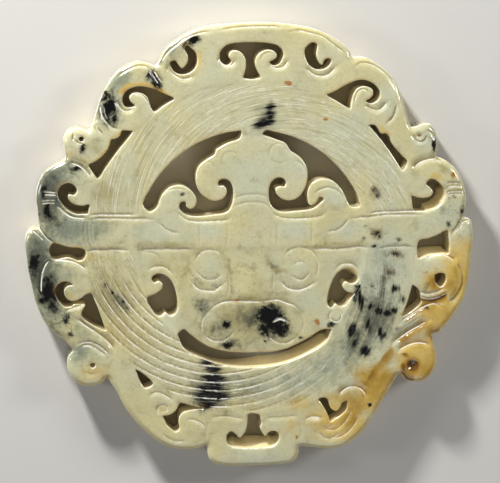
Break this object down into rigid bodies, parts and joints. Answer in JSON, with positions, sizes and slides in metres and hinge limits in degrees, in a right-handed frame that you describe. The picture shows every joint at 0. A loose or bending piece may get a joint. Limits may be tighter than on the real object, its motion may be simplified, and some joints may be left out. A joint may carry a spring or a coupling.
{
  "type": "openwork jade disc",
  "caption": "Carved jade disc with a roped ring around an animal mask and a pierced border of scrolls, wings and bird heads, lying on its flat back.",
  "frame": {"origin": "under the middle of the disc's outline, on the plane of its flat back", "axes": "+Z out of the carved face, +Y towards the crown, +X to the right as the face is seen"},
  "size_m": [0.1118, 0.111, 0.009],
  "materials": {
    "jade": "polished, waxy, pale celadon with dark inclusions and russet skin at one side"
  },
  "bodies": {
    "root": {"jade_disc": "jade"}
  },
  "joints": []
}
